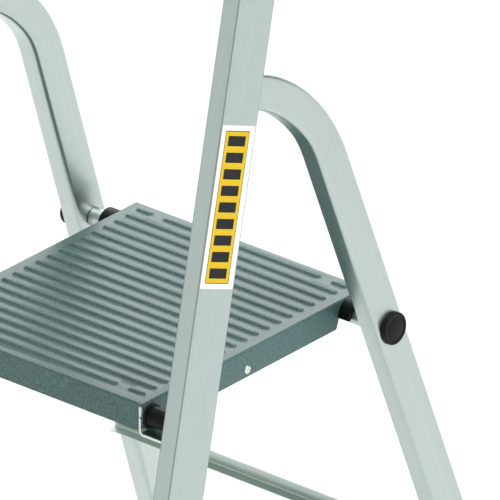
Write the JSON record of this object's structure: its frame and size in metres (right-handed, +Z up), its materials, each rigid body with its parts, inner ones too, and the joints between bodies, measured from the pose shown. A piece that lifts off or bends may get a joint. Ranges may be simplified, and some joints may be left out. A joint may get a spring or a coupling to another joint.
{
  "type": "step ladder",
  "caption": "Free-standing aluminium step ladder with ribbed treads, a hinged platform that clips on the bent rear legs, and a tool tray on high stiles.",
  "frame": {"origin": "on the floor, under the middle of the ladder's box", "axes": "+Z up, +X to the climber's right, -Y the climbing side, +Y the rear legs' side"},
  "size_m": [0.4982, 0.7774, 1.29],
  "materials": {
    "stile_aluminium": "satin extruded aluminium",
    "tube_aluminium": "satin drawn aluminium tube",
    "tread_aluminium": "satin extruded aluminium with fine ribs",
    "bracket_aluminium": "mill finish aluminium",
    "platform_paint": "fine speckled semi-gloss grey paint on pressed steel",
    "black_plastic": "moulded black plastic",
    "foot_plastic": "moulded black plastic, slightly rough",
    "tray_plastic": "moulded black plastic, fine grained",
    "zinc_steel": "bright zinc-plated steel"
  },
  "bodies": {
    "front_frame": {"front_foot_left": "foot_plastic", "front_foot_right": "foot_plastic", "hinge_bracket_left": "bracket_aluminium", "hinge_bracket_right": "bracket_aluminium", "hinge_bracket_rivet_left_1": "zinc_steel", "hinge_bracket_rivet_left_2": "zinc_steel", "hinge_bracket_rivet_right_1": "zinc_steel", "hinge_bracket_rivet_right_2": "zinc_steel", "hinge_pin_left": "zinc_steel", "hinge_pin_right": "zinc_steel", "pivot_pin_left": "zinc_steel", "pivot_pin_right": "zinc_steel", "stile_left": "stile_aluminium", "stile_right": "stile_aluminium", "tool_tray": "tray_plastic", "tray_screw_left": "zinc_steel", "tray_screw_right": "zinc_steel", "tread_1": "tread_aluminium", "tread_2": "tread_aluminium", "tread_bracket_1_left": "bracket_aluminium", "tread_bracket_1_right": "bracket_aluminium", "tread_bracket_2_left": "bracket_aluminium", "tread_bracket_2_right": "bracket_aluminium", "tread_rivet_1_left_1": "zinc_steel", "tread_rivet_1_left_2": "zinc_steel", "tread_rivet_1_right_1": "zinc_steel", "tread_rivet_1_right_2": "zinc_steel", "tread_rivet_2_left_1": "zinc_steel", "tread_rivet_2_left_2": "zinc_steel", "tread_rivet_2_right_1": "zinc_steel", "tread_rivet_2_right_2": "zinc_steel"},
    "rear_frame": {"axle_cap_left": "black_plastic", "axle_cap_right": "black_plastic", "brace_rivet_lower_left": "zinc_steel", "brace_rivet_lower_right": "zinc_steel", "brace_rivet_upper_left": "zinc_steel", "brace_rivet_upper_right": "zinc_steel", "cross_tube": "tube_aluminium", "leg_plug_left": "black_plastic", "leg_plug_right": "black_plastic", "pivot_washer_left": "zinc_steel", "pivot_washer_right": "zinc_steel", "rear_brace_lower": "tube_aluminium", "rear_brace_upper": "tube_aluminium", "rear_foot_left": "foot_plastic", "rear_foot_right": "foot_plastic", "rear_leg_left": "tube_aluminium", "rear_leg_right": "tube_aluminium", "tie_rod": "zinc_steel", "tie_rod_nut_left": "zinc_steel", "tie_rod_nut_right": "zinc_steel"},
    "platform": {"hinge_bush_left": "black_plastic", "hinge_bush_right": "black_plastic", "platform_panel": "platform_paint", "platform_stiffener": "platform_paint", "rear_clip_left": "black_plastic", "rear_clip_right": "black_plastic", "stiffener_rivet_left": "zinc_steel", "stiffener_rivet_right": "zinc_steel"}
  },
  "joints": [
    {"name": "rear_frame_fold", "type": "hinge", "parent": "front_frame", "child": "rear_frame", "pos_m": [0, -0.09312, 1.00647], "axis": [-1, 0, 0], "range_deg": [0, 33]},
    {"name": "platform_lift", "type": "hinge", "parent": "front_frame", "child": "platform", "pos_m": [0, -0.18149, 0.674], "axis": [1, 0, 0], "range_deg": [0, 76.1]}
  ],
  "couplings": [
    {"joint": "platform_lift", "follows": "rear_frame_fold", "ratio": 2.303}
  ]
}
